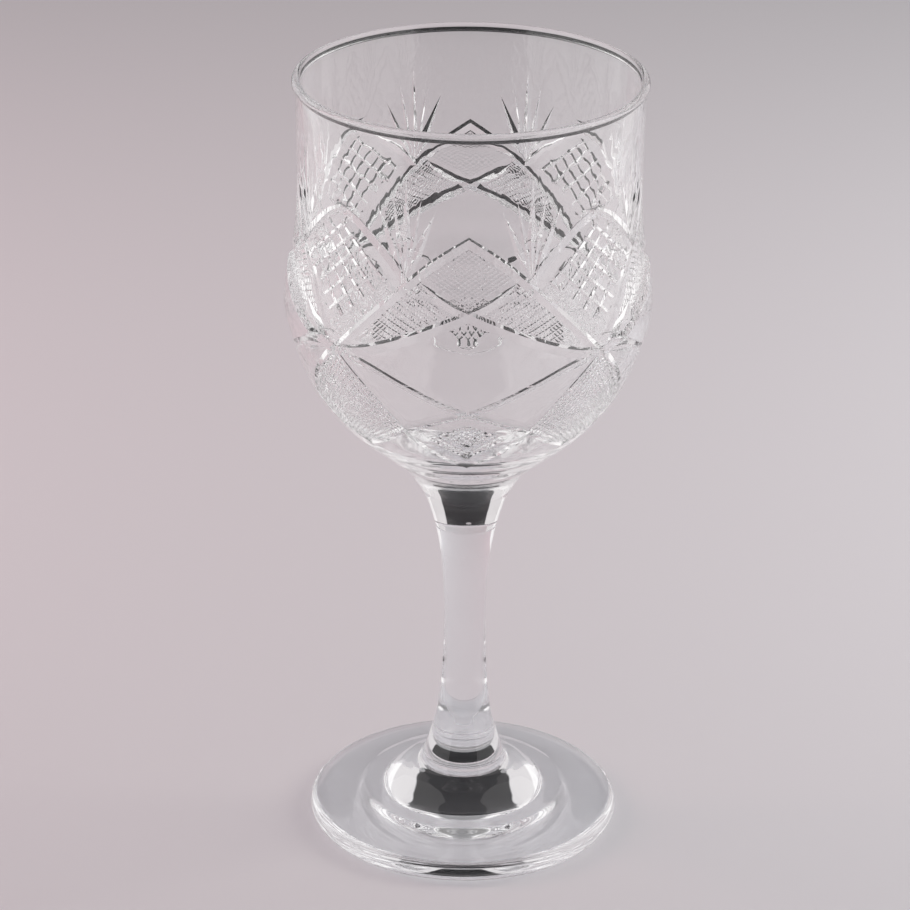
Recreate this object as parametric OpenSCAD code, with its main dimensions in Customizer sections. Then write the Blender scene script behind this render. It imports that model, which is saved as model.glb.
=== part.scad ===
// Stemmed wine glass with a wheel-cut bowl.
// Three pieces of clear glass are fused hot, end to end: the blown bowl with its
// solid button, the drawn stem, and the pressed foot. +Z is up, the foot's ring
// rests on Z = 0 and the axis of the glass is the Z axis. Sizes are millimetres.

/* [Whole glass] */
// Height from the table to the top of the rim
height = 165; // [150:1:180]

/* [Bowl] */
// Widest diameter of the bowl
bowl_d = 74.4; // [66:0.2:82]
// Diameter over the fire-polished bead of the mouth
mouth_d = 70.6; // [62:0.2:78]
// Wall thickness just below the rim
wall = 1.2; // [1:0.1:2]
// Wall thickness where the bowl is widest, left thick for the cutting wheel
cut_wall = 2.4; // [1.8:0.1:3.4]
// Thickness of the solid glass from the joint with the stem to the cup's floor
base_t = 16.5; // [12:0.5:20]

/* [Stem] */
// Diameter of the stem at its waist
stem_d = 8.75; // [7:0.05:11]
// Height of the joint between the bowl's button and the stem
bowl_joint = 68; // [60:0.5:72]
// Height of the joint between the stem and the foot
foot_joint = 14; // [12:0.5:18]

/* [Foot] */
// Diameter of the foot
foot_d = 65.2; // [58:0.2:74]
// Thickness of the foot at its rounded edge
foot_edge = 4.2; // [3.4:0.1:4.2]
// Depth of the shallow hollow under the foot
hollow_h = 0.6; // [0.4:0.1:1.6]

/* [Hidden] */

$fn = 128;
steps = 5;                               // straight pieces between two stations of a curve
bowl_r = bowl_d / 2;
mouth_r = mouth_d / 2;
stem_r = stem_d / 2;
foot_r = foot_d / 2;
bowl_h = height - bowl_joint;            // button and cup together
stem_h = bowl_joint - foot_joint;
top_joint_r = 1.46 * stem_r;             // the stem flares to meet the button
foot_joint_r = 1.97 * stem_r;            // and flares wider to meet the foot
cup_floor = bowl_joint + base_t;
cup_h = height - cup_floor;
bead_r = 0.75 * wall;                    // radius of the rounded rim bead
foot_round = foot_edge / 2;              // radius of the foot's rounded edge

// Catmull-Rom value at t between b and c
function blend(a, b, c, d, t) =
    0.5 * (2 * b + (c - a) * t + (2 * a - 5 * b + 4 * c - d) * t * t
           + (3 * b - a - 3 * c + d) * t * t * t);

// Smooth curve through the stations p, both ends included
function curve(p) = concat(
    [for (i = [0 : len(p) - 2], s = [0 : steps - 1])
        blend(p[max(i - 1, 0)], p[i], p[i + 1], p[min(i + 2, len(p) - 1)], s / steps)],
    [p[len(p) - 1]]);

// Arc about [r, z] from angle a to angle b
function arc(r, z, rad, a, b, n = 8) =
    [for (i = [0 : n]) [r + rad * cos(a + (b - a) * i / n), z + rad * sin(a + (b - a) * i / n)]];

// A point at a fraction of the bowl's radius and of its height above the stem joint
function bowl_at(r, z) = [r * bowl_r, bowl_joint + z * bowl_h];

// A point inside the cup: a fraction of its radius and of its height above its floor
function cup_at(r, z) = [r * (bowl_r - cut_wall), cup_floor + z * cup_h];

// Outside of the bowl, from the stem joint up: button, round belly, gentle waist
bowl_outside = curve([
    [top_joint_r, bowl_joint],
    bowl_at(0.222, 0.062),
    bowl_at(0.282, 0.105),
    bowl_at(0.356, 0.144),
    bowl_at(0.505, 0.193),
    bowl_at(0.665, 0.247),
    bowl_at(0.800, 0.309),
    bowl_at(0.890, 0.371),
    bowl_at(0.953, 0.435),
    bowl_at(0.992, 0.490),
    bowl_at(1.000, 0.526),
    bowl_at(0.984, 0.590),
    bowl_at(0.950, 0.645),
    bowl_at(0.934, 0.700),
    bowl_at(0.925, 0.753),
    bowl_at(0.926, 0.850),
    [mouth_r - 0.80 * bead_r, height - 3.00 * bead_r],
    [mouth_r - 0.62 * bead_r, height - 2.15 * bead_r],
    [mouth_r - 0.234 * bead_r, height - 1.643 * bead_r]
]);

// Inside of the cup, from the rim down to the middle of its floor
bowl_inside = curve([
    [mouth_r - 2 * bead_r, height - bead_r],
    [mouth_r - 2 * bead_r, height - 4 * bead_r],
    cup_at(0.947, 0.700),
    cup_at(0.967, 0.560),
    cup_at(0.993, 0.485),
    cup_at(1.000, 0.430),
    cup_at(0.958, 0.330),
    cup_at(0.838, 0.215),
    cup_at(0.640, 0.110),
    cup_at(0.400, 0.038),
    cup_at(0.200, 0.008),
    [0, cup_floor]
]);

// Side of the stem between its two joints
stem_side = curve([
    [foot_joint_r, foot_joint],
    [1.63 * stem_r, foot_joint + 0.08 * stem_h],
    [1.32 * stem_r, foot_joint + 0.17 * stem_h],
    [1.12 * stem_r, foot_joint + 0.31 * stem_h],
    [1.01 * stem_r, foot_joint + 0.47 * stem_h],
    [1.00 * stem_r, foot_joint + 0.60 * stem_h],
    [1.05 * stem_r, foot_joint + 0.74 * stem_h],
    [1.18 * stem_r, foot_joint + 0.87 * stem_h],
    [top_joint_r, bowl_joint]
]);

// Top of the foot from its edge in to the stem joint: sloping plate, step, then the boss
foot_top = curve([
    [foot_r - foot_round, foot_edge],
    [0.87 * foot_r, 0.31 * foot_joint],
    [0.77 * foot_r, 0.35 * foot_joint],
    [0.69 * foot_r, 0.40 * foot_joint],
    [0.63 * foot_r, 0.455 * foot_joint],
    [0.57 * foot_r, 0.47 * foot_joint],
    [0.52 * foot_r, 0.50 * foot_joint],
    [0.465 * foot_r, 0.64 * foot_joint],
    [0.40 * foot_r, 0.765 * foot_joint],
    [0.34 * foot_r, 0.83 * foot_joint],
    [0.29 * foot_r, 0.88 * foot_joint],
    [foot_joint_r, foot_joint]
]);

// Blown bowl: cup, thick floor and the solid button that the stem is fused to
module bowl() {
    color([0.86, 0.90, 0.92, 0.45])
    rotate_extrude()
    polygon(concat(
        [[0, bowl_joint]],
        bowl_outside,
        arc(mouth_r - bead_r, height - bead_r, bead_r, -40, 180, 12),
        bowl_inside));
}

// Drawn stem, a solid rod that flares at both ends
module stem() {
    color([0.80, 0.86, 0.90, 0.60])
    rotate_extrude()
    polygon(concat([[0, foot_joint]], stem_side, [[0, bowl_joint]]));
}

// Pressed foot: a round plate that rises to a boss, hollowed a little underneath
module foot() {
    color([0.74, 0.82, 0.88, 0.60])
    rotate_extrude()
    polygon(concat(
        [[0, foot_joint], [0, hollow_h], [0.45 * foot_r, 0.75 * hollow_h]],
        [[0.80 * foot_r, 0]],
        arc(foot_r - foot_round, foot_round, foot_round, -90, 90),
        foot_top));
}

bowl();
stem();
foot();
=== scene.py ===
import math
import bmesh
import bpy
import numpy as np
from mathutils import Euler, Matrix, Vector


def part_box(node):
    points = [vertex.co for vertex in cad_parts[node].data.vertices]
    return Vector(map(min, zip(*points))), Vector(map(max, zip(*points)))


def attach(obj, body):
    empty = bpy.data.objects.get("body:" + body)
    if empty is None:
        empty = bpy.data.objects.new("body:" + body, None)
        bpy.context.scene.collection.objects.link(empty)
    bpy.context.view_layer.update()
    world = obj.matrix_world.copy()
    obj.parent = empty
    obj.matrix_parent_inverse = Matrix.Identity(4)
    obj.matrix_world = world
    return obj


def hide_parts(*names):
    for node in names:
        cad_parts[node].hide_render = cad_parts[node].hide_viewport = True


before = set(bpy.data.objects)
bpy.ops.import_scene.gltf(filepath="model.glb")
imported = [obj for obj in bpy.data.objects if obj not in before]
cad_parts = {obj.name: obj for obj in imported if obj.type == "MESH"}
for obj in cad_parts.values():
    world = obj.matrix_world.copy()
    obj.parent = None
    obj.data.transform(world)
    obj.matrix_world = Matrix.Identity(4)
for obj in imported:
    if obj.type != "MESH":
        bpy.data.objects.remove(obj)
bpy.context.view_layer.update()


# ---- Foot -------------------------------------------------------------------------
# A pressed plate of clear glass that rises in a low step to a boss in the middle, with
# a shallow hollow underneath, so that it stands on a ring. The stem is fused to the boss.

foot_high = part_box("foot")[1]
stem_low, stem_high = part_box("stem")
foot_r = foot_high.x
foot_h = foot_high.z
foot_flare = 1.97                           # the stem's radius at the foot joint, in waist radii
stem_r = stem_high.x / foot_flare
foot_edge = 0.0042
foot_round = foot_edge / 2
ring_r = 0.80 * foot_r                      # inner edge of the ring that the foot stands on
hollow_h = 0.0006


def smooth_line(stations, steps=8):
    """Points of a smooth curve through the stations (radius, height)."""
    line = []
    last = len(stations) - 1
    for i in range(last):
        a, b, c, d = (Vector(stations[min(max(i + k, 0), last)]) for k in (-1, 0, 1, 2))
        for s in range(steps):
            t = s / steps
            line.append(0.5 * (2 * b + (c - a) * t + (2 * a - 5 * b + 4 * c - d) * t * t
                               + (3 * b - a - 3 * c + d) * t * t * t))
    return line + [Vector(stations[-1])]


def round_edge(centre, radius, start, end, steps=10):
    """Points of an arc about centre (radius, height), from one angle to another."""
    angles = [math.radians(start + (end - start) * i / steps) for i in range(steps + 1)]
    return [Vector((centre[0] + radius * math.cos(a), centre[1] + radius * math.sin(a))) for a in angles]


def turned(line, steps):
    """A bmesh of the line (radius, height) turned once about the glass's axis."""
    bm = bmesh.new()
    verts = [bm.verts.new((0, -p[0], p[1])) for p in line]
    edges = [bm.edges.new(pair) for pair in zip(verts, verts[1:])]
    bmesh.ops.spin(bm, geom=verts + edges, cent=(0, 0, 0), axis=(0, 0, 1), angle=math.tau,
                   steps=steps, use_merge=True)
    bmesh.ops.remove_doubles(bm, verts=bm.verts, dist=1e-7)
    bmesh.ops.dissolve_degenerate(bm, edges=bm.edges, dist=1e-8)
    bmesh.ops.recalc_face_normals(bm, faces=bm.faces)
    return bm


def clear_glass(name, tint, shade, wave, waviness, haze):
    """Clear glass that lets the lamps' light through to what stands behind it.

    Each surface passes the share shade of that light. The glass has soft waves of the
    given length and height in metres, and its roughness varies from none to haze.
    """
    mat = bpy.data.materials.new(name)
    mat.use_nodes = True
    nodes, links = mat.node_tree.nodes, mat.node_tree.links
    glass = nodes["Principled BSDF"]
    glass.inputs["Base Color"].default_value = (*tint, 1)
    glass.inputs["IOR"].default_value = 1.52
    glass.inputs["Transmission Weight"].default_value = 1.0
    place = nodes.new("ShaderNodeTexCoord")
    waves = nodes.new("ShaderNodeTexNoise")
    waves.inputs["Scale"].default_value = 1 / wave
    waves.inputs["Detail"].default_value = 1.0
    bump = nodes.new("ShaderNodeBump")
    bump.inputs["Strength"].default_value = 1.0
    bump.inputs["Distance"].default_value = waviness
    polish = nodes.new("ShaderNodeMapRange")
    polish.inputs["From Min"].default_value = 0.35
    polish.inputs["From Max"].default_value = 0.75
    polish.inputs["To Max"].default_value = haze
    links.new(place.outputs["Object"], waves.inputs["Vector"])
    links.new(waves.outputs[0], bump.inputs["Height"])
    links.new(bump.outputs[0], glass.inputs["Normal"])
    links.new(waves.outputs[0], polish.inputs["Value"])
    links.new(polish.outputs[0], glass.inputs["Roughness"])
    path = nodes.new("ShaderNodeLightPath")
    through = nodes.new("ShaderNodeBsdfTransparent")
    through.inputs["Color"].default_value = (*shade, 1)
    mix = nodes.new("ShaderNodeMixShader")
    links.new(path.outputs["Is Shadow Ray"], mix.inputs[0])
    links.new(glass.outputs[0], mix.inputs[1])
    links.new(through.outputs[0], mix.inputs[2])
    links.new(mix.outputs[0], nodes["Material Output"].inputs["Surface"])
    return mat


def fused_joint():
    """Where two gathers are fused there is no surface left, so light goes straight on."""
    mat = bpy.data.materials.new("fused_joint")
    mat.use_nodes = True
    nodes, links = mat.node_tree.nodes, mat.node_tree.links
    nodes.remove(nodes["Principled BSDF"])
    through = nodes.new("ShaderNodeBsdfTransparent")
    links.new(through.outputs[0], nodes["Material Output"].inputs["Surface"])
    return mat


def glass_piece(name, bm, mat, joints):
    """An object from the bmesh; faces lying flat at one of the joint heights are fused."""
    for face in bm.faces:
        flat = max(abs(v.co.z - face.verts[0].co.z) for v in face.verts) < 1e-7
        at_joint = flat and any(abs(face.verts[0].co.z - z) < 1e-6 for z in joints)
        face.smooth = not at_joint and face.smooth
        face.material_index = int(at_joint)
    mesh = bpy.data.meshes.new(name)
    bm.to_mesh(mesh)
    bm.free()
    mesh.materials.append(mat)
    mesh.materials.append(fused)
    piece = bpy.data.objects.new(name, mesh)
    bpy.context.scene.collection.objects.link(piece)
    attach(piece, "root")
    return piece


fused = fused_joint()
plain_glass = clear_glass("plain_glass", tint=(0.975, 0.985, 0.992), shade=(0.80, 0.82, 0.84),
                          wave=0.009, waviness=0.00002, haze=0.01)

foot_line = (
    [Vector((0, foot_h))]
    + smooth_line([
        (foot_flare * stem_r, foot_h),
        (0.29 * foot_r, 0.88 * foot_h),
        (0.34 * foot_r, 0.83 * foot_h),
        (0.40 * foot_r, 0.765 * foot_h),
        (0.465 * foot_r, 0.64 * foot_h),
        (0.52 * foot_r, 0.50 * foot_h),
        (0.57 * foot_r, 0.47 * foot_h),
        (0.63 * foot_r, 0.455 * foot_h),
        (0.69 * foot_r, 0.40 * foot_h),
        (0.77 * foot_r, 0.35 * foot_h),
        (0.87 * foot_r, 0.31 * foot_h),
        (foot_r - foot_round, foot_edge),
    ])[:-1]
    + round_edge((foot_r - foot_round, foot_round), foot_round, 90, -90)
    + [Vector((ring_r, 0))]
    + smooth_line([(ring_r, 0), (0.45 * foot_r, 0.75 * hollow_h), (0, hollow_h)])[1:]
)
bm = turned(foot_line, steps=192)
for f in bm.faces:
    f.smooth = True
pressed_foot = glass_piece("pressed_foot", bm, plain_glass, [foot_h])
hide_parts("foot")

# ---- Stem -------------------------------------------------------------------------
# A solid drawn rod of clear glass, narrowest a little above the middle and flaring at
# both ends into the joints with the foot's boss and the bowl's button.

stem_h = stem_high.z - stem_low.z
button_flare = 1.46                         # the stem's radius at the bowl joint, in waist radii


def stem_at(radius, height):
    return radius * stem_r, stem_low.z + height * stem_h


stem_line = (
    [Vector((0, stem_low.z))]
    + smooth_line([
        stem_at(foot_flare, 0), stem_at(1.63, 0.08), stem_at(1.32, 0.17), stem_at(1.12, 0.31),
        stem_at(1.01, 0.47), stem_at(1.00, 0.60), stem_at(1.05, 0.74), stem_at(1.18, 0.87),
        stem_at(button_flare, 1),
    ])
    + [Vector((0, stem_high.z))]
)
bm = turned(stem_line, steps=96)
for f in bm.faces:
    f.smooth = True
drawn_stem = glass_piece("drawn_stem", bm, plain_glass, [stem_low.z, stem_high.z])
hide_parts("stem")

# ---- Bowl -------------------------------------------------------------------------
# Clear glass blown in a mould, thick where it is cut, over a solid floor and button.
# Its rim is melted to a round bead, and its button is fused to the top of the stem.

bowl_low, bowl_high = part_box("bowl")
bowl_r = bowl_high.x
bowl_h = bowl_high.z - bowl_low.z
rim_z = bowl_high.z
wall = 0.0012
cut_wall = 0.0024
base_t = 0.0165
bead_r = 0.75 * wall
mouth_r = 0.949 * bowl_r
cup_floor = bowl_low.z + base_t
cup_h = rim_z - cup_floor


def bowl_at(radius, height):
    return radius * bowl_r, bowl_low.z + height * bowl_h


def cup_at(radius, height):
    return radius * (bowl_r - cut_wall), cup_floor + height * cup_h


outside = smooth_line([
    (button_flare * stem_r, bowl_low.z), bowl_at(0.222, 0.062), bowl_at(0.282, 0.105), bowl_at(0.356, 0.144),
    bowl_at(0.505, 0.193), bowl_at(0.665, 0.247), bowl_at(0.800, 0.309), bowl_at(0.890, 0.371),
    bowl_at(0.953, 0.435), bowl_at(0.991, 0.490), bowl_at(0.999, 0.526), bowl_at(0.984, 0.590),
    bowl_at(0.950, 0.645), bowl_at(0.934, 0.700), bowl_at(0.925, 0.753), bowl_at(0.926, 0.850),
    (mouth_r - 0.80 * bead_r, rim_z - 3.00 * bead_r), (mouth_r - 0.62 * bead_r, rim_z - 2.15 * bead_r),
    (mouth_r - 0.234 * bead_r, rim_z - 1.643 * bead_r),
])
bead = round_edge((mouth_r - bead_r, rim_z - bead_r), bead_r, -40, 180, steps=36)
inside = smooth_line([
    (mouth_r - 2 * bead_r, rim_z - bead_r), (mouth_r - 2 * bead_r, rim_z - 4 * bead_r),
    cup_at(0.947, 0.700), cup_at(0.967, 0.560), cup_at(0.993, 0.485), cup_at(1.000, 0.430),
    cup_at(0.958, 0.330), cup_at(0.838, 0.215), cup_at(0.640, 0.110), cup_at(0.400, 0.038),
    cup_at(0.200, 0.008), (0, cup_floor),
])[1:]

# ---- Wheel cuts on the bowl ---------------------------------------------------------
# The pattern is ground into the outside with V-edged wheels and polished. It repeats
# every quarter turn and each quarter is its own mirror image, so one eighth is cut here
# as a flat sheet: x runs round the glass at its widest, y runs up along its side.

mm = 0.001
column = math.radians(2.5) * bowl_r         # the sheet is ruled into columns of 2.5 degrees
eighth = 18 * column
side_z = np.array([p[1] for p in outside])
side_r = np.array([p[0] for p in outside])
side_y = np.concatenate([[0], np.cumsum(np.hypot(np.diff(side_r), np.diff(side_z)))])
side_tilt = np.arctan2(np.gradient(side_r, side_y), np.gradient(side_z, side_y))
cut_low, cut_high = 0.0895, 0.158


def spot(angle, height):
    """Sheet position of an angle round the glass in degrees and a height in millimetres."""
    return math.radians(angle) * bowl_r, float(np.interp(height * mm, side_z, side_y))


def on_bowl(x, y, depth=0.0):
    """The place on the bowl of a sheet position, sunk into the glass by depth."""
    tilt = np.interp(y, side_y, side_tilt)
    r = np.interp(y, side_y, side_r) - depth * math.cos(tilt)
    z = np.interp(y, side_y, side_z) + depth * math.sin(tilt)
    angle = x / bowl_r
    return Vector((r * math.sin(angle), -r * math.cos(angle), z))


def only_faces(geom):
    return [g for g in geom if isinstance(g, bmesh.types.BMFace)]


def rule(bm, faces, start, end):
    """Rules a straight line across the given faces of the sheet and returns the faces."""
    parts = set(faces)
    for f in faces:
        parts.update(f.edges)
        parts.update(f.verts)
    run = Vector((end[0] - start[0], end[1] - start[1], 0)).normalized()
    done = bmesh.ops.bisect_plane(bm, geom=list(parts), dist=1e-6, plane_co=(start[0], start[1], 0),
                                  plane_no=(-run.y, run.x, 0))
    return only_faces(done["geom"])


class Mitre:
    """A long groove through its stations (angle, height), from low angle to high.

    The wheel is held at a tilt, so the upper side of the groove is narrow and steep.
    """

    def __init__(self, stations, width, depth, upper=0.36, fade_in=0.0, fade_out=0.0):
        line = smooth_line([spot(*s) for s in stations])
        self.x = np.array([p[0] for p in line])
        self.y = np.array([p[1] for p in line])
        self.slope = np.gradient(self.y, self.x)
        self.sides = {1: upper * width * mm, 0: 0.0, -1: (1 - upper) * width * mm}
        self.deep = depth * mm
        self.fade_in, self.fade_out = fade_in * mm, fade_out * mm

    def height(self, x):
        return float(np.interp(x, self.x, self.y))

    def swell(self, x):
        """1 along the groove, falling to 0 at an end where the wheel is lifted out."""
        start = (x - self.x[0]) / self.fade_in if self.fade_in else 1.0
        end = (self.x[-1] - x) / self.fade_out if self.fade_out else 1.0
        return max(min(start, end, 1.0), 0.02)

    def edge(self, x, side):
        """Height of the groove's upper edge (side 1), bottom (0) or lower edge (-1)."""
        slant = math.hypot(1, float(np.interp(x, self.x, self.slope)))
        return self.height(x) + side * self.sides[side] * self.swell(x) * slant

    def spans(self, x0, x1):
        return self.x[0] < x0 + 1e-6 and self.x[-1] > x1 - 1e-6

    def depth(self, x, y):
        if x < self.x[0] - 1e-6 or x > self.x[-1] + 1e-6:
            return 0.0
        bottom = self.height(x)
        edge = self.edge(x, 1 if y > bottom else -1)
        return self.deep * self.swell(x) * max(0.0, 1 - (y - bottom) / (edge - bottom))


class Blade:
    """A leaf-shaped cut from one point to another, widest at a share of its length."""

    def __init__(self, start, end, width, depth, widest=0.4):
        self.start, self.end = Vector(spot(*start)), Vector(spot(*end))
        self.run = (self.end - self.start).normalized()
        self.side = Vector((-self.run.y, self.run.x))
        self.length = (self.end - self.start).length
        self.half, self.deep, self.widest = width / 2 * mm, depth * mm, widest

    def point(self, share, across):
        return self.start + self.run * (share * self.length) + self.side * across

    def local(self, x, y):
        d = Vector((x, y)) - self.start
        return d.dot(self.run) / self.length, d.dot(self.side)

    def depth(self, x, y):
        share, across = self.local(x, y)
        if not 0 < share < 1:
            return 0.0
        swell = share / self.widest if share < self.widest else (1 - share) / (1 - self.widest)
        return self.deep * max(0.0, swell - abs(across) / self.half)


def off_line(line, x, y):
    """How far a sheet position lies to the left of a straight line."""
    a, b = line
    return ((b.x - a.x) * (y - a.y) - (b.y - a.y) * (x - a.x)) / (b - a).length


class Hatch:
    """Two families of straight V grooves over a four-cornered field, parallel to its sides.

    Corners run bottom, left, top, right, counts are the gaps between grooves across the
    field, and border is the plain share left at its edges. within says which sheet
    positions the field may cover.
    """

    def __init__(self, corners, counts, width, depth, within, border=0.0):
        bottom, left, top, right = (Vector(spot(*c)) for c in corners)
        self.within, self.half, self.deep = within, width / 2 * mm, depth * mm
        self.families = []
        for (a, b), (c, d), n in (((bottom, right), (left, top), counts[0]),
                                  ((bottom, left), (right, top), counts[1])):
            shares = [border + (1 - 2 * border) * i / n for i in range(n + 1)]
            self.families.append([(a.lerp(b, t), c.lerp(d, t)) for t in shares])

    def covers(self, x, y):
        for family in self.families:
            first, last = off_line(family[0], x, y), off_line(family[-1], x, y)
            if first * last > 0 and min(abs(first), abs(last)) > 1.01 * self.half:
                return False
        return self.within(x, y)

    def depth(self, x, y):
        if not self.covers(x, y):
            return 0.0
        nearest = min(abs(off_line(line, x, y)) for family in self.families for line in family)
        return self.deep * max(0.0, 1 - nearest / self.half)

    def edges(self, line):
        """The two edges and the bottom of one groove."""
        a, b = line
        aside = Vector((-(b - a).y, (b - a).x)).normalized() * self.half
        return [(a - aside, b - aside), (a, b), (a + aside, b + aside)]


arch = Mitre([(0, 143.5), (10, 139.4), (20, 134), (30, 127.7), (40, 120.9), (45, 117.6)], 2.1, 0.58, 0.30)
cross = Mitre([(0, 128.9), (10, 126.2), (20, 123.3), (30, 120.6), (37.5, 119.0), (45, 118)], 2.3, 0.68, 0.33)
cross_up = Mitre([(0, 128.9), (7.5, 131), (15.5, 134.6)], 1.9, 0.6, fade_out=3.0)
cradle = Mitre([(0, 107), (10, 109.8), (20, 113), (30, 115.9), (37.5, 117.2), (45, 118)], 1.5, 0.32, 0.6)
cradle_low = Mitre([(0, 107), (10, 104.9), (22.5, 101.7)], 1.4, 0.28, 0.6)
shoulder = Mitre([(20, 134.2), (25, 138), (30, 140.7), (37.5, 144.3), (45, 146.3)], 1.9, 0.6)
shoulder_end = Mitre([(40, 147.1), (45, 146.3)], 1.6, 0.5, fade_in=3.0)
lens_top = Mitre([(22.5, 101.7), (32.5, 109.5), (45, 118)], 1.3, 0.28, 0.6)
lens_low = Mitre([(22.5, 101.7), (32.5, 97.6), (45, 94.5)], 1.0, 0.3)
skirt_low = Mitre([(0, 91.8), (11, 95.4), (22.5, 101.7)], 1.2, 0.35)
mitres = [arch, cross, cross_up, cradle, cradle_low, shoulder, shoulder_end, lens_top, lens_low, skirt_low]

node_at = (20.6, 134.4)
blades = [
    Blade(node_at, (10.5, 149.5), 2.1, 0.6),
    Blade(node_at, (15.3, 151.5), 1.5, 0.4),
    Blade(node_at, (20.3, 155.5), 2.1, 0.6),
    Blade(node_at, (25.3, 152.5), 1.5, 0.4),
    Blade(node_at, (30.5, 149.0), 2.1, 0.6),
]


def above(line, x, y):
    return y > line.edge(x, 1) + 5e-6


def below(line, x, y):
    return y < line.edge(x, -1) - 5e-6


def in_cap(x, y):
    return x < cross_up.x[-1] and above(cross_up, x, y) and below(arch, x, y)


def in_wing(x, y):
    return (1.2 * mm < x < spot(31, 0)[0] and above(cross, x, y) and below(arch, x, y)
            and (x > cross_up.x[-1] or below(cross_up, x, y)))


def in_lens(x, y):
    return x > lens_top.x[0] and above(lens_low, x, y) and below(lens_top, x, y)


def in_skirt(x, y):
    return x < spot(20, 0)[0] and below(cradle_low, x, y) and above(skirt_low, x, y)


def in_panel(x, y):
    return x > spot(22, 0)[0] and above(arch, x, y) and below(shoulder, x, y)


hatches = [
    Hatch([(0, 128.9), (-17.5, 135.4), (0, 143.5), (17.5, 135.4)], (12, 12), 0.5, 0.07, in_cap, 0.12),
    Hatch([(17.5, 112.3), (0, 128.9), (17.5, 135.6), (45, 118)], (22, 18), 0.5, 0.12, in_wing),
    Hatch([(45, 94), (22.5, 101.7), (45, 118), (67.5, 101.7)], (18, 18), 0.8, 0.2, in_lens),
    Hatch([(0, 91.8), (-22, 101.7), (0, 107), (22, 101.7)], (8, 8), 0.7, 0.2, in_skirt, 0.18),
]
chequer = Hatch([(45, 118), (20.6, 134.4), (45, 146.3), (69.4, 134.4)], (5, 5), 0.9, 0.3, in_panel, 0.14)

bm = bmesh.new()
bmesh.ops.create_grid(bm, x_segments=18, y_segments=1, size=0.5)
y_low, y_high = spot(0, cut_low / mm)[1], spot(0, cut_high / mm)[1]
for v in bm.verts:
    v.co = Vector(((v.co.x + 0.5) * eighth, y_low if v.co.y < 0 else y_high, 0))
strips = sorted(bm.faces, key=lambda f: f.calc_center_median().x)
for i, strip in enumerate(strips):
    x0, x1 = i * column, (i + 1) * column
    faces = [strip]
    for m in mitres:
        if m.spans(x0, x1):
            for k in (-1, 0, 1):
                faces = rule(bm, faces, (x0, m.edge(x0, k)), (x1, m.edge(x1, k)))

row = 1.2 * mm
rule(bm, bm.faces[:], (0, y_high - row), (1, y_high - row))
for blade in blades:
    room = 1.3 * blade.half
    ends = [blade.point(0, room), blade.point(0, -room), blade.point(1, -room), blade.point(1, room)]
    lo_x, hi_x = min(p.x for p in ends), max(p.x for p in ends)
    lo_y, hi_y = min(p.y for p in ends), max(p.y for p in ends)
    faces = [f for f in bm.faces
             if max(v.co.x for v in f.verts) > lo_x and min(v.co.x for v in f.verts) < hi_x
             and max(v.co.y for v in f.verts) > lo_y and min(v.co.y for v in f.verts) < hi_y]
    for a, b in zip(ends, ends[1:] + ends[:1]):
        faces = rule(bm, faces, a, b)
        faces = [f for f in faces
                 if (Vector(f.calc_center_median().xy) - a).dot(Vector((-(b - a).y, (b - a).x))) > -1e-12]
    faces = rule(bm, faces, blade.point(blade.widest, -room), blade.point(blade.widest, room))
    near = [f for f in faces if blade.local(*f.calc_center_median().xy)[0] < blade.widest]
    far = [f for f in faces if f not in set(near)]
    for part, share in ((near, 0), (far, 1)):
        for k in (-1, 0, 1):
            part = rule(bm, part, blade.point(share, 0), blade.point(blade.widest, k * blade.half))


def cut_hatch(hatch, field):
    """Rules the grooves of a hatch over the faces of its field."""
    outer = [hatch.edges(family[end])[edge] for family in hatch.families for end, edge in ((0, 0), (-1, 2))]
    for line in outer:
        field = rule(bm, field, *line)
    field = [f for f in field if hatch.covers(*f.calc_center_median().xy)]
    for family in hatch.families:
        for line in family:
            for edge in hatch.edges(line):
                field = rule(bm, field, *edge)
    return field


fine = []
for hatch in hatches:
    field = [f for f in bm.faces if hatch.within(*f.calc_center_median().xy)]
    fine += cut_hatch(hatch, bmesh.ops.dissolve_faces(bm, faces=field)["region"])
fine += cut_hatch(chequer, [f for f in bm.faces if in_panel(*f.calc_center_median().xy)])
fine = set(fine)
hatches.append(chequer)
y = y_low + row
while y < y_high:
    plain = [f for f in bm.faces if f not in fine
             and min(v.co.y for v in f.verts) < y < max(v.co.y for v in f.verts)]
    rule(bm, plain, (0, y), (1, y))
    y += row

bmesh.ops.mirror(bm, geom=bm.verts[:] + bm.edges[:] + bm.faces[:], axis="X", merge_dist=1e-7)
for v in bm.verts:
    x, y = abs(v.co.x), v.co.y
    depth = max([0.0] + [c.depth(x, y) for c in mitres + blades + hatches])
    v.co = on_bowl(v.co.x, y, depth)
sector = bm.verts[:] + bm.edges[:] + bm.faces[:]
for quarter in (1, 2, 3):
    copy = bmesh.ops.duplicate(bm, geom=sector)["geom"]
    bmesh.ops.rotate(bm, verts=[g for g in copy if isinstance(g, bmesh.types.BMVert)], cent=(0, 0, 0),
                     matrix=Matrix.Rotation(quarter * math.pi / 2, 3, "Z"))

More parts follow.
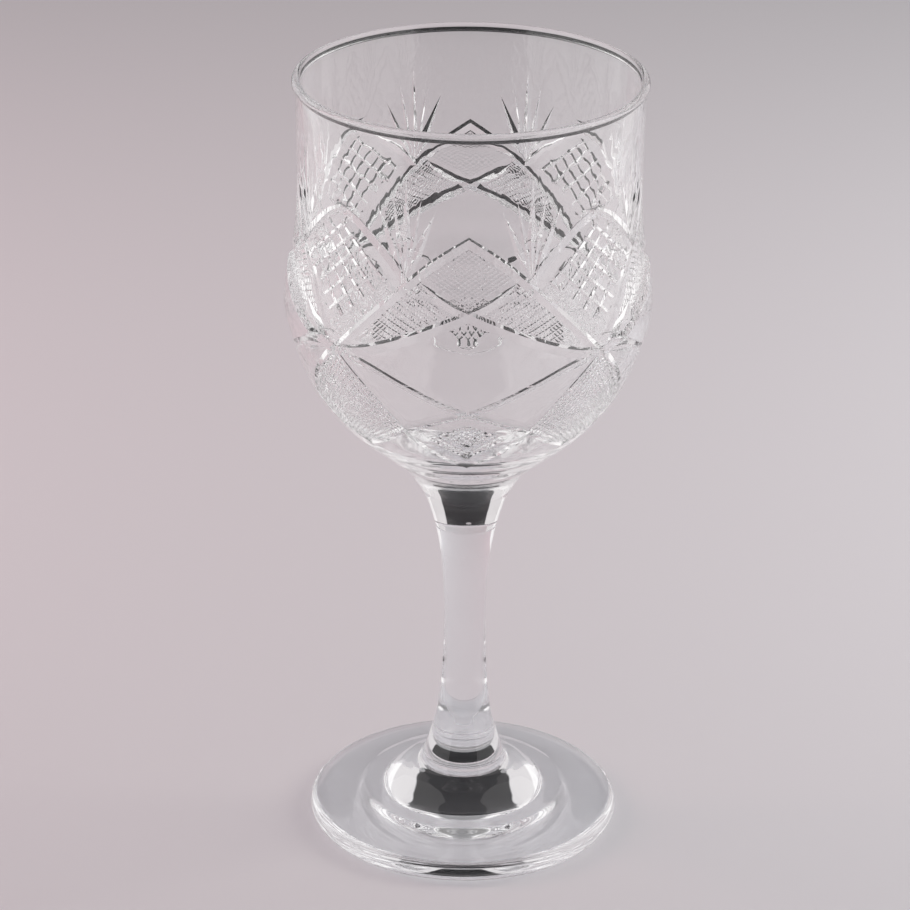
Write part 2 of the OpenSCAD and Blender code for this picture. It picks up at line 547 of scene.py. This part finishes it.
low_edge = Vector((float(np.interp(cut_low, side_z, side_r)), cut_low))
high_edge = Vector((float(np.interp(cut_high, side_z, side_r)), cut_high))
for line in ([Vector((0, bowl_low.z))] + [p for p in outside if p[1] < cut_low - 1e-5] + [low_edge],
             [high_edge] + [p for p in outside if p[1] > cut_high + 1e-5] + bead + inside):
    smooth_part = turned(line, steps=144)
    part_mesh = bpy.data.meshes.new("part")
    smooth_part.to_mesh(part_mesh)
    smooth_part.free()
    bm.from_mesh(part_mesh)
    bpy.data.meshes.remove(part_mesh)
bmesh.ops.remove_doubles(bm, verts=bm.verts, dist=1.5e-6)
bmesh.ops.dissolve_degenerate(bm, edges=bm.edges, dist=1e-7)
bmesh.ops.recalc_face_normals(bm, faces=bm.faces)
for f in bm.faces:
    f.smooth = True
for e in bm.edges:
    e.smooth = e.calc_face_angle(0) < math.radians(9)

cut_glass = clear_glass("cut_glass", tint=(0.99, 0.992, 0.992), shade=(0.94, 0.94, 0.95),
                        wave=0.004, waviness=0.00004, haze=0.015)
cut_bowl = glass_piece("cut_bowl", bm, cut_glass, [bowl_low.z])
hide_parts("bowl")

# ---- Studio -----------------------------------------------------------------------
# A pale sheet of paper under the glass, softboxes at its sides and in front, and behind
# it a black flag, which gives clear glass its dark lines. The paper lies a hair below
# the foot, which touches it at few points.

gap = 0.0002


def plain_sheet(name, corners):
    """A flat four-sided stage piece from its corners."""
    bm = bmesh.new()
    bm.faces.new([bm.verts.new(c) for c in corners])
    mesh = bpy.data.meshes.new(name)
    bm.to_mesh(mesh)
    bm.free()
    obj = bpy.data.objects.new(name, mesh)
    bpy.context.scene.collection.objects.link(obj)
    return obj


paper = bpy.data.materials.new("sweep_paper")
paper.use_nodes = True
paper.node_tree.nodes["Principled BSDF"].inputs["Base Color"].default_value = (0.76, 0.76, 0.76, 1)
paper.node_tree.nodes["Principled BSDF"].inputs["Roughness"].default_value = 0.9
paper.node_tree.nodes["Principled BSDF"].inputs["Specular IOR Level"].default_value = 0.2
sweep = plain_sheet("sweep", [(-4, -4, -gap), (4, -4, -gap), (4, 4, -gap), (-4, 4, -gap)])
sweep.data.materials.append(paper)


def glow_card(name, corners, colour, strength):
    """A stage card that glows evenly and is seen only in and through the glass."""
    mat = bpy.data.materials.new(name)
    mat.use_nodes = True
    nodes, links = mat.node_tree.nodes, mat.node_tree.links
    nodes.remove(nodes["Principled BSDF"])
    glow = nodes.new("ShaderNodeEmission")
    glow.inputs["Color"].default_value = (*colour, 1)
    glow.inputs["Strength"].default_value = strength
    links.new(glow.outputs[0], nodes["Material Output"].inputs["Surface"])
    card = plain_sheet(name, corners)
    card.data.materials.append(mat)
    card.visible_camera = card.visible_diffuse = card.visible_shadow = False


flag_y, flag_x, flag_h = 0.62, 0.29, 0.60
side_x, side_y, side_h = 0.30, 0.25, 0.7    # where each side's far and near softboxes meet
near_x, near_y = 0.26, -0.3
glow_card("black_flag", [(-flag_x, flag_y, -gap), (flag_x, flag_y, -gap),
                         (flag_x, flag_y, flag_h), (-flag_x, flag_y, flag_h)], (0.5, 0.5, 0.6), 0.01)
for side, name in ((-1, "softbox_left"), (1, "softbox_right")):
    glow_card(name, [(side * side_x, flag_y, 0), (side * side_x, side_y, 0),
                     (side * side_x, side_y, side_h), (side * side_x, flag_y, side_h)], (1, 0.96, 0.97), 0.75)
    glow_card(name + "_side", [(side * side_x, side_y, 0), (side * near_x, near_y, 0),
                               (side * near_x, near_y, side_h), (side * side_x, side_y, side_h)],
              (1, 0.98, 0.98), 1.1)
glow_card("front_softbox", [(-0.7, -0.9, 0.5), (0.7, -0.9, 0.5), (0.7, -0.7, 1.0), (-0.7, -0.7, 1.0)],
          (1, 0.97, 0.97), 0.25)


def soft_lamp(name, place, aim, size, power, colour):
    """A square soft lamp that lights the paper, and isn't seen in the glass."""
    lamp = bpy.data.lights.new(name, "AREA")
    lamp.size = size
    lamp.energy = power
    lamp.color = colour
    obj = bpy.data.objects.new(name, lamp)
    obj.location = place
    obj.rotation_euler = (Vector(aim) - Vector(place)).to_track_quat("-Z", "Y").to_euler()
    obj.visible_camera = obj.visible_glossy = obj.visible_transmission = False
    bpy.context.scene.collection.objects.link(obj)


soft_lamp("lamp_left", (-0.6, 0.15, 0.4), (0, 0.15, 0), 0.35, 1.95, (1.0, 0.65, 0.71))
soft_lamp("lamp_right", (0.6, 0.15, 0.4), (0, 0.15, 0), 0.35, 2.85, (0.97, 0.97, 1.0))

world = bpy.data.worlds.new("room")
world.use_nodes = True
world.node_tree.nodes["Background"].inputs["Color"].default_value = (0.30, 0.295, 0.305, 1)
bpy.context.scene.world = world
bpy.context.scene.view_settings.view_transform = "Standard"
cycles = bpy.context.scene.cycles
cycles.max_bounces = cycles.transmission_bounces = cycles.glossy_bounces = 32

# ---- Camera -----------------------------------------------------------------------
# A long lens in front of the glass, looking down on it and tilted by half a degree.

camera_data = bpy.data.cameras.new("camera")
camera_data.lens = 142.51
camera_data.sensor_width = 36.0
camera_data.clip_start = 0.05
camera = bpy.data.objects.new("camera", camera_data)
camera.location = (0, -0.67474, 0.39142)
look = Euler((math.radians(90 - 24.562), 0, math.radians(0.203))).to_matrix()
camera.rotation_euler = (look @ Matrix.Rotation(math.radians(0.567), 3, "Z")).to_euler()
bpy.context.scene.collection.objects.link(camera)
bpy.context.scene.camera = camera
